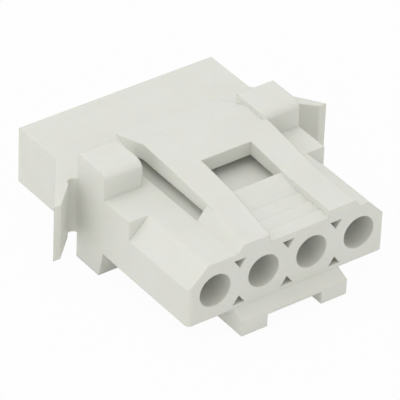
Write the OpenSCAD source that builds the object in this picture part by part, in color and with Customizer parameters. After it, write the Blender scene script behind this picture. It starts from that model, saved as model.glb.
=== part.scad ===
// Four-way cable connector housing, moulded in one piece.
// X runs along the row of wire bores, the wires enter from -Y and the mating end is at +Y.
// Z is up. The housing stands on its feet at Z = 0, with its footprint centred on the origin.

/* [Contact row] */
// Number of contact positions
ways = 4; // [3:1:8]
// Distance between neighbouring contacts
pitch = 4.5; // [4.4:0.1:6]
// Diameter of the round wire bores
wire_bore_d = 2.85; // [2:0.05:3.1]
// Height of the bore axes above the underside of the body
bore_z = 2.5; // [2.1:0.05:2.8]
// Wall behind the wire bores at the mating face
mating_wall = 1.5; // [0.8:0.1:3]
// Diameter of the openings that the mating pins enter
pin_opening_d = 1.9; // [1.2:0.05:2]
// Width of the bevel round each pin opening
pin_lead_in = 0.35; // [0.1:0.05:0.4]

/* [Body] */
// Distance from the outer bore axes to the end walls
end_margin = 2.45; // [2.2:0.05:4]
// Height of the body
body_h = 5; // [4.6:0.05:6.5]
// Length from the wire face to the mating face
body_len = 22.7; // [21:0.1:30]
// Length of the wire end that has bevelled top corners
front_len = 7.75; // [6:0.05:9]
// Size of the 45 degree bevel along the top corners
corner_bevel = 1.7; // [0.5:0.05:2]
// Radius of the upright corners at the wire face
face_corner_r = 0.4; // [0.1:0.05:0.8]

/* [Shoulders and feet] */
// Distance from the wire face to the front of the shoulders
shoulder_y = 11.1; // [9.5:0.1:12]
// Length of the shoulders along the housing
shoulder_len = 3.5; // [2:0.1:4]
// Width of each shoulder
shoulder_w = 3.5; // [2:0.1:3.6]
// Height of the shoulders above the body
shoulder_rise = 2.3; // [1.5:0.05:3.5]
// Length of the rounded bevel on the shoulders' front top edge
shoulder_bevel = 0.9; // [0.3:0.05:1.4]
// Depth of the feet below the body
foot_drop = 2.3; // [1.9:0.05:3]
// Distance that a foot's front face leans back towards its sole
foot_lean = 0.5; // [0:0.05:1]

/* [Side leaves] */
// Distance from the wire face to the rear root of the leaves
leaf_root_y = 17.65; // [16.5:0.05:19]
// Distance from the wire face to the leaf tips
leaf_tip_y = 12.4; // [11:0.05:13.5]
// Reach of the leaf tips beyond the end walls
leaf_reach = 3.7; // [2.5:0.05:5]
// Width of the flat end of a leaf
leaf_tip_w = 0.65; // [0.3:0.05:1]
// Width of the slot between a leaf and the end wall, at its closed end
leaf_slot_w = 1; // [0.6:0.05:1.4]
// Distance from the wire face to the closed end of the slots
leaf_slot_y = 14.9; // [14:0.05:16]

/* [Latch strap] */
// Sideways shift of the strap from the middle, which keys the mating half
strap_shift = 1; // [0:0.05:1.4]
// Width of the strap at the wire face
strap_front_w = 9.6; // [7:0.1:11]
// Width of the strap at its ridge
strap_ridge_w = 10.2; // [7:0.1:11]
// Width of the strap at the end of its ramp
strap_end_w = 8.8; // [7:0.1:11]
// Distance from the wire face to the ridge
ridge_y = 13.3; // [12:0.05:15]
// Height of the ridge above the body
ridge_rise = 2; // [1.2:0.05:3]
// Distance from the wire face to the end of the ramp
ramp_end_y = 17.9; // [16:0.05:20]
// Distance from the wire face to the level stretch behind the window
level_y = 10.5; // [9.8:0.05:11.5]
// Height of the level stretch above the body
level_rise = 1.8; // [1:0.05:2.5]
// Height of the rails above the body at the wire face
rail_rise = 0.65; // [0.3:0.05:1.5]
// Spread of the rails' slanted flanks at the foot
flank_w = 0.95; // [0.2:0.05:1.2]
// Distance from the wire face to the tunnel under the strap
tunnel_y = 5.2; // [4:0.05:7]
// Depth of the tunnel's floor below the top of the body
tunnel_sink = 0.35; // [0.1:0.05:0.5]
// Clear height of the tunnel at its front end
tunnel_h = 0.6; // [0.3:0.05:0.8]
// Thickness of the strap at its ridge
strap_wall = 1.4; // [0.8:0.05:1.5]

/* [Latch window] */
// Distance from the wire face to the window
window_y = 5.6; // [5:0.05:7]
// Length of the window
window_len = 3.9; // [2.5:0.05:4]
// Width of the window
window_w = 4.7; // [3:0.1:6]
// Width of the thumb recess at the wire face
recess_front_w = 5.6; // [4:0.1:7]
// Depth of the recess below the strap at the window's front edge
recess_sink = 0.15; // [0:0.05:0.5]
// Number of grip steps in the thumb recess
grip_steps = 3; // [1:1:5]
// Length of each grip step
grip_len = 1.2; // [0.5:0.05:1.5]
// Height of each grip step
grip_h = 0.22; // [0.05:0.01:0.3]

/* [Front bar] */
// Length of the bar under the wire face
bar_len = 9.9; // [8:0.1:12]
// Reach of the bar in front of the wire face
bar_reach = 1.15; // [0.6:0.05:2]
// Length of the bar behind the wire face
bar_back = 2.4; // [1:0.1:4]
// Drop of the bar's slanted top
bar_slant = 0.5; // [0.2:0.05:0.8]
// Thickness of the bar's front lip
bar_lip = 0.25; // [0.1:0.05:0.6]
// Width of the two claws under the bar
claw_w = 2.4; // [1.5:0.1:4]
// Depth of the claws below the body
claw_drop = 1.85; // [1:0.05:1.9]

/* [Core-outs] */
// Width of the three-cornered pockets between the bores
pocket_w = 1.1; // [0.6:0.05:1.5]
// Height of the pockets
pocket_h = 0.75; // [0.4:0.05:0.9]
// Depth of the pockets
pocket_depth = 5; // [2:0.5:9]
// Distance from the underside of the body to the lower pockets
pocket_skin_low = 0.35; // [0.25:0.05:0.5]
// Distance from the top of the body to the upper pockets
pocket_skin_top = 0.55; // [0.25:0.05:0.7]

/* [Hidden] */
$fn = 64;
eps = 0.01;
body_w = (ways - 1) * pitch + 2 * end_margin;
half_w = body_w / 2;
bore_depth = body_len - mating_wall;
shoulder_end_y = shoulder_y + shoulder_len;
shoulder_top = body_h + shoulder_rise;
ridge_z = body_h + ridge_rise;
level_z = body_h + level_rise;
rail_z = body_h + rail_rise;
tunnel_floor = body_h - tunnel_sink;
ramp_slope = ridge_rise / (ramp_end_y - ridge_y);
tunnel_end_y = ridge_y + (ridge_z - strap_wall - tunnel_floor) / ramp_slope;
window_edge_z = strap_top(window_y) - recess_sink;
base_y = (body_len - bar_reach) / 2;

// Height of the strap's sloping top at a distance y from the wire face
function strap_top(y) = rail_z + (level_z - rail_z) * y / level_y;

// Points on a quarter arc of an ellipse, from the upright side to the top
function quarter(cx, cy, rx, ry, steps = 6) =
    [for (i = [0:steps]) [cx - rx * cos(90 * i / steps), cy + ry * sin(90 * i / steps)]];

// Turns a front view, drawn in X and Z, into a bar of the given length along Y
module along_y(length) {
    translate([0, length, 0]) rotate([90, 0, 0]) linear_extrude(length) children();
}

// Turns a side view, drawn in Y and Z, into a bar of the given width about X = 0
module across_x(width) {
    rotate([90, 0, 90]) linear_extrude(width, center = true) children();
}

module at_each_way() {
    for (i = [0:ways - 1]) translate([(i - (ways - 1) / 2) * pitch, 0, 0]) children();
}

module between_ways() {
    for (i = [1:ways - 1]) translate([(i - ways / 2) * pitch, 0, 0]) children();
}

module mirrored_pair() {
    for (side = [0, 1]) mirror([side, 0, 0]) children();
}

module block() {
    along_y(front_len) polygon([
        [-half_w, 0], [half_w, 0], [half_w, body_h - corner_bevel], [half_w - corner_bevel, body_h],
        [corner_bevel - half_w, body_h], [-half_w, body_h - corner_bevel]
    ]);
    translate([-half_w, front_len - eps, 0]) cube([body_w, body_len - front_len + eps, body_h]);
}

module corner_rounding() {
    translate([-half_w - eps, -eps, -eps]) linear_extrude(body_h + 2 * eps) difference() {
        square(face_corner_r + eps);
        translate([face_corner_r + eps, face_corner_r + eps]) circle(face_corner_r);
    }
}

module shoulder() {
    bevel_z = shoulder_bevel * 0.7;
    translate([half_w - shoulder_w / 2, 0, 0]) across_x(shoulder_w) polygon(concat(
        [[shoulder_y, 0]],
        quarter(shoulder_y + shoulder_bevel, shoulder_top - bevel_z, shoulder_bevel, bevel_z),
        [[shoulder_end_y, shoulder_top], [shoulder_end_y, -foot_drop], [shoulder_y + foot_lean, -foot_drop]]
    ));
}

module leaf() {
    slot_r = leaf_slot_w / 2;
    translate([half_w, 0, 0]) linear_extrude(body_h) difference() {
        polygon([
            [-eps, leaf_slot_y - slot_r], [-eps, leaf_root_y], [0, leaf_root_y],
            [leaf_reach, leaf_tip_y], [leaf_reach - leaf_tip_w, leaf_tip_y],
            [leaf_slot_w, leaf_slot_y - slot_r]
        ]);
        translate([slot_r, leaf_slot_y - slot_r]) circle(slot_r);
    }
}

module strap_plan() {
    polygon([
        [-strap_front_w / 2, 0], [strap_front_w / 2, 0], [strap_ridge_w / 2, ridge_y],
        [strap_end_w / 2, ramp_end_y], [-strap_end_w / 2, ramp_end_y], [-strap_ridge_w / 2, ridge_y]
    ]);
}

module strap_side() {
    polygon([
        [0, tunnel_floor], [0, rail_z], [level_y, level_z], [ridge_y, ridge_z],
        [ramp_end_y, body_h], [ramp_end_y, tunnel_floor]
    ]);
}

module strap_flanks() {
    reach = strap_front_w / 2 + flank_w;
    crest = strap_top(tunnel_y);
    intersection() {
        along_y(tunnel_y) polygon([
            [-reach, tunnel_floor], [-reach, body_h], [-strap_front_w / 2, crest],
            [strap_front_w / 2, crest], [reach, body_h], [reach, tunnel_floor]
        ]);
        across_x(body_w) strap_side();
    }
}

module strap() {
    intersection() {
        translate([0, 0, tunnel_floor]) linear_extrude(ridge_rise + body_h) strap_plan();
        across_x(body_w) strap_side();
    }
    strap_flanks();
}

module tunnel() {
    across_x(strap_front_w + 2 * flank_w) polygon([
        [tunnel_y, tunnel_floor], [tunnel_y, tunnel_floor + tunnel_h],
        [ridge_y, ridge_z - strap_wall], [tunnel_end_y, tunnel_floor]
    ]);
}

module window() {
    translate([-window_w / 2, window_y, tunnel_floor]) cube([window_w, window_len, ridge_rise + body_h]);
}

module thumb_recess() {
    slope_y = grip_steps * grip_len;
    intersection() {
        translate([0, 0, tunnel_floor]) linear_extrude(ridge_rise + body_h) polygon([
            [-recess_front_w / 2, -eps], [recess_front_w / 2, -eps],
            [window_w / 2, window_y + eps], [-window_w / 2, window_y + eps]
        ]);
        across_x(body_w) polygon(concat(
            [[-eps, ridge_z], [-eps, body_h]],
            [for (i = [0:grip_steps - 1], p = [
                [i * grip_len, body_h + i * grip_h * 0.5],
                [(i + 1) * grip_len - 0.25, body_h + i * grip_h * 0.5 + grip_h],
                [(i + 1) * grip_len, body_h + (i + 1) * grip_h * 0.5]
            ]) p],
            [[window_y + eps, window_edge_z], [window_y + eps, ridge_z]]
        ));
    }
}

module bar_side(depth) {
    polygon([[-bar_reach, -bar_slant], [0, 0], [bar_back, 0], [bar_back, -depth], [-bar_reach, -depth]]);
}

module front_bar() {
    across_x(bar_len) bar_side(bar_slant + bar_lip);
    mirrored_pair() translate([(bar_len - claw_w) / 2, 0, 0]) across_x(claw_w) bar_side(claw_drop);
}

module wire_bore() {
    translate([0, 0, bore_z]) rotate([-90, 0, 0]) {
        translate([0, 0, -eps]) cylinder(d = wire_bore_d, h = bore_depth + eps);
        cylinder(d = pin_opening_d, h = body_len + eps);
        translate([0, 0, body_len - pin_lead_in])
            cylinder(d1 = pin_opening_d, d2 = pin_opening_d + 2 * pin_lead_in + 2 * eps, h = pin_lead_in + eps);
    }
}

module pocket() {
    translate([0, -eps, 0]) along_y(pocket_depth + eps) polygon([[-pocket_w / 2, 0], [pocket_w / 2, 0], [0, pocket_h]]);
}

module pockets() {
    translate([0, 0, pocket_skin_low]) pocket();
    translate([0, 0, body_h - pocket_skin_top]) mirror([0, 0, 1]) pocket();
}

module housing() {
    color("ivory") translate([0, -base_y, foot_drop]) difference() {
        union() {
            difference() {
                union() {
                    block();
                    translate([strap_shift, 0, 0]) strap();
                }
                translate([strap_shift, 0, 0]) {
                    tunnel();
                    window();
                    thumb_recess();
                }
                mirrored_pair() corner_rounding();
            }
            mirrored_pair() {
                shoulder();
                leaf();
            }
            front_bar();
        }
        at_each_way() wire_bore();
        between_ways() pockets();
    }
}

housing();
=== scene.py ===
import math
import bmesh
import bpy
from mathutils import Matrix, Vector


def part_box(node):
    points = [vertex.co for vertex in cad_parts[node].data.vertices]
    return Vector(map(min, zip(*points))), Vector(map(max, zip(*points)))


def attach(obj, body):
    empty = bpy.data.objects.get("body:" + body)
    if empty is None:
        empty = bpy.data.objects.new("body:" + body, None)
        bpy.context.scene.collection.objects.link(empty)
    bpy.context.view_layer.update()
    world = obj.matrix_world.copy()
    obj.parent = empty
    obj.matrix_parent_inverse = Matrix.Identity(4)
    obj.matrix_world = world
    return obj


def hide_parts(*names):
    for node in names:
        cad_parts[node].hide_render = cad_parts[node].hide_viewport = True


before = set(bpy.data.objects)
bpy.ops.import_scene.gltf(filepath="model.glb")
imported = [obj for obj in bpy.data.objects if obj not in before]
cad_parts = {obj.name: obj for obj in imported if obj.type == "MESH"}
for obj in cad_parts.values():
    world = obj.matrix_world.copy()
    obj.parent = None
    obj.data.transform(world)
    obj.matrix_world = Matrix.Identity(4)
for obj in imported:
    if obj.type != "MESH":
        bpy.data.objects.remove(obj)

scene = bpy.context.scene
mm = 0.001  # the CAD frame is in metres
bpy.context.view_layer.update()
houseLow, houseHigh = [Vector(corner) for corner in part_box("housing")]
print("frame loaded, housing", [round(v / mm, 2) for v in (houseHigh - houseLow)], "mm")


def hexColor(code):
    # sRGB hex value to linear
    channels = [int(code[i:i + 2], 16) / 255 for i in (1, 3, 5)]
    return [c / 12.92 if c <= 0.04045 else ((c + 0.055) / 1.055) ** 2.4 for c in channels] + [1.0]


def addNode(tree, kind, inputs=(), links=(), **settings):
    # one node with its settings, socket values and incoming links
    node = tree.nodes.new(kind)
    for name, value in settings.items():
        setattr(node, name, value)
    for socket, value in dict(inputs).items():
        node.inputs[socket].default_value = value
    for socket, source in dict(links).items():
        tree.links.new(source, node.inputs[socket])
    return node


# ---- camera: long lens, from the wire face's left, a little rolled ----
cameraLook = {
    "azimuth": 37.175,  # degrees round from the wire face towards its left end
    "elevation": 35.486,  # degrees above the floor
    "roll": 2.384,  # degrees
    "distance": 317.4,  # mm
    "lens": 371.5,  # mm
    "sensor": 36,  # mm
    "aim": (-0.795, -0.577, 4.658),  # mm from the origin of the frame
    "clip": (0.01, 10),  # m
}


def productCamera():
    azimuth, elevation, roll = [math.radians(cameraLook[k]) for k in ("azimuth", "elevation", "roll")]
    back = Vector((-math.sin(azimuth) * math.cos(elevation),
                   -math.cos(azimuth) * math.cos(elevation), math.sin(elevation)))
    right = Vector((math.cos(azimuth), -math.sin(azimuth), 0))
    up = back.cross(right)
    rolledRight = right * math.cos(roll) + up * math.sin(roll)
    rolledUp = up * math.cos(roll) - right * math.sin(roll)
    data = bpy.data.cameras.new("productCamera")
    data.lens = cameraLook["lens"]
    data.sensor_width = cameraLook["sensor"]
    data.clip_start, data.clip_end = cameraLook["clip"]
    camera = bpy.data.objects.new("productCamera", data)
    scene.collection.objects.link(camera)
    axes = Matrix((rolledRight, rolledUp, back)).transposed().to_4x4()
    axes.translation = Vector(cameraLook["aim"]) * mm + back * cameraLook["distance"] * mm
    camera.matrix_world = axes
    return camera


scene.camera = productCamera()
print("camera set")


# ---- natural nylon: undyed polyamide, injection moulded ----
# To the eye it is a satin off-white, soft along its edges, that lets a little light in under its skin.
nylonLook = {
    "base": "#e3e4de",  # undyed PA66 is nearly white
    "shade": "#dcdcd3",  # the flow clouds are a touch creamier
    "ior": 1.53,
    "roughness": 0.48,
    "glossier": 0.05,  # change of roughness across the clouds
    "duller": 0.06,
    "cloud": 3.5,  # mm, size of the flow clouds in the colour
    "cloudDetail": 3.0,
    "cloudRoughness": 0.55,
    "cloudRange": (0.3, 0.7),  # part of the noise that the roughness follows
    "grain": 0.12,  # mm, spark-eroded mould texture, drawn coarser than the real 0.03 mm so that it shows
    "grainDetail": 2.0,
    "grainHeight": 0.004,  # mm
    "grainStrength": 0.35,
    "edgeRadius": 0.15,  # mm, small radii that the mould leaves along every edge
    "edgeSamples": 8,
    "bleed": 0.45,  # mm that light spreads under the skin
    "bleedWeight": 0.25,
    "bleedColors": (1.0, 0.8, 0.45),  # red goes deepest
}


def naturalNylon():
    look = nylonLook
    material = bpy.data.materials.new("naturalNylonMoulded")
    material.use_nodes = True
    tree = material.node_tree
    tree.nodes.clear()
    place = addNode(tree, "ShaderNodeTexCoord").outputs["Object"]
    clouds = addNode(tree, "ShaderNodeTexNoise", {
        "Scale": 1 / (look["cloud"] * mm), "Detail": look["cloudDetail"],
        "Roughness": look["cloudRoughness"]}, {"Vector": place})
    tint = addNode(tree, "ShaderNodeMixRGB", {
        "Color1": hexColor(look["base"]), "Color2": hexColor(look["shade"])}, {"Fac": clouds.outputs["Fac"]})
    grain = addNode(tree, "ShaderNodeTexNoise", {
        "Scale": 1 / (look["grain"] * mm), "Detail": look["grainDetail"]}, {"Vector": place})
    rough = addNode(tree, "ShaderNodeMapRange", {
        "From Min": look["cloudRange"][0], "From Max": look["cloudRange"][1],
        "To Min": look["roughness"] - look["glossier"],
        "To Max": look["roughness"] + look["duller"]}, {"Value": clouds.outputs["Fac"]})
    edges = addNode(tree, "ShaderNodeBevel", {"Radius": look["edgeRadius"] * mm}, samples=look["edgeSamples"])
    bump = addNode(tree, "ShaderNodeBump", {
        "Strength": look["grainStrength"], "Distance": look["grainHeight"] * mm}, {
        "Height": grain.outputs["Fac"], "Normal": edges.outputs["Normal"]})
    skin = addNode(tree, "ShaderNodeBsdfPrincipled", {
        "IOR": look["ior"], "Subsurface Weight": look["bleedWeight"],
        "Subsurface Scale": look["bleed"] * mm, "Subsurface Radius": look["bleedColors"]}, {
        "Base Color": tint.outputs["Color"], "Roughness": rough.outputs["Result"],
        "Normal": bump.outputs["Normal"]})
    addNode(tree, "ShaderNodeOutputMaterial", (), {"Surface": skin.outputs["BSDF"]})
    return material


nylon = naturalNylon()
print("material made:", nylon.name)


# ---- housing: the moulding with its smooth bores and crisp edges ----
housingShape = {
    "weld": 0.002,  # mm, corners closer than this become one
    "sharpAngle": 24,  # degrees, edges flatter than this are shaded as one surface
}


def mouldedHousing(source):
    mesh = bpy.data.meshes.new("mouldedHousing")
    shape = bmesh.new()
    shape.from_mesh(source.data)
    bmesh.ops.remove_doubles(shape, verts=shape.verts, dist=housingShape["weld"] * mm)
    shape.normal_update()
    for face in shape.faces:
        face.smooth = True
    for edge in shape.edges:
        edge.smooth = edge.calc_face_angle(0) < math.radians(housingShape["sharpAngle"])
    shape.to_mesh(mesh)
    shape.free()
    piece = bpy.data.objects.new("mouldedHousing", mesh)
    scene.collection.objects.link(piece)
    mesh.materials.append(nylon)
    return piece


housing = mouldedHousing(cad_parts["housing"])
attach(housing, "root")
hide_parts("housing")
print("housing made,", len(housing.data.polygons), "faces")


# ---- stage: pale floor and soft light ----
stageLook = {
    "floor": 1.2,  # m across
    "board": "#f2f2f0",
    "white": "#fefefe",
    "whiteShare": 0.97,  # plain white that the camera and reflections see in it, little of a shadow is left
    "ambient": "#ffffff",
    "ambientStrength": 0.8,
}
lampLook = {
    "topSoftbox": {"place": (-60, 40, 260), "size": 260, "power": 0.16},  # mm, mm, W
    "leftSoftbox": {"place": (-300, -60, 120), "size": 240, "power": 0.096},
}


def paleFloor():
    mesh = bpy.data.meshes.new("paleFloor")
    half = stageLook["floor"] / 2
    corners = [(-half, -half, 0), (half, -half, 0), (half, half, 0), (-half, half, 0)]
    mesh.from_pydata(corners, [], [(0, 1, 2, 3)])
    floor = bpy.data.objects.new("paleFloor", mesh)
    scene.collection.objects.link(floor)
    material = bpy.data.materials.new("paintedBoardFloor")
    material.use_nodes = True
    tree = material.node_tree
    tree.nodes.clear()
    board = addNode(tree, "ShaderNodeBsdfDiffuse", {"Color": hexColor(stageLook["board"])})
    glow = addNode(tree, "ShaderNodeEmission", {"Color": hexColor(stageLook["white"]), "Strength": 1.0})
    path = addNode(tree, "ShaderNodeLightPath")
    seen = addNode(tree, "ShaderNodeMath", (), {
        0: path.outputs["Is Camera Ray"], 1: path.outputs["Is Glossy Ray"]}, operation="MAXIMUM")
    part = addNode(tree, "ShaderNodeMath", {1: stageLook["whiteShare"]}, {0: seen.outputs[0]},
                   operation="MULTIPLY")
    both = addNode(tree, "ShaderNodeMixShader", (), {
        0: part.outputs[0], 1: board.outputs[0], 2: glow.outputs[0]})
    addNode(tree, "ShaderNodeOutputMaterial", (), {"Surface": both.outputs[0]})
    mesh.materials.append(material)


def softLight(name, look):
    # a square area lamp, facing the housing
    data = bpy.data.lights.new(name, "AREA")
    data.shape = "SQUARE"
    data.size = look["size"] * mm
    data.energy = look["power"]
    lamp = bpy.data.objects.new(name, data)
    scene.collection.objects.link(lamp)
    lamp.location = Vector(look["place"]) * mm
    lamp.rotation_mode = "QUATERNION"
    lamp.rotation_quaternion = (-lamp.location).to_track_quat("-Z", "Y")


def studioWorld():
    world = bpy.data.worlds.new("studio")
    world.use_nodes = True
    sky = world.node_tree
    sky.nodes.clear()
    ambient = addNode(sky, "ShaderNodeBackground", {
        "Color": hexColor(stageLook["ambient"]), "Strength": stageLook["ambientStrength"]})
    backdrop = addNode(sky, "ShaderNodeBackground", {"Color": hexColor(stageLook["white"]), "Strength": 1.0})
    path = addNode(sky, "ShaderNodeLightPath")
    chosen = addNode(sky, "ShaderNodeMixShader", (), {
        0: path.outputs["Is Camera Ray"], 1: ambient.outputs[0], 2: backdrop.outputs[0]})
    addNode(sky, "ShaderNodeOutputWorld", (), {"Surface": chosen.outputs[0]})
    scene.world = world


paleFloor()
for lampName, look in lampLook.items():
    softLight(lampName, look)
studioWorld()
scene.view_settings.view_transform = "Standard"
print("stage and lights set")
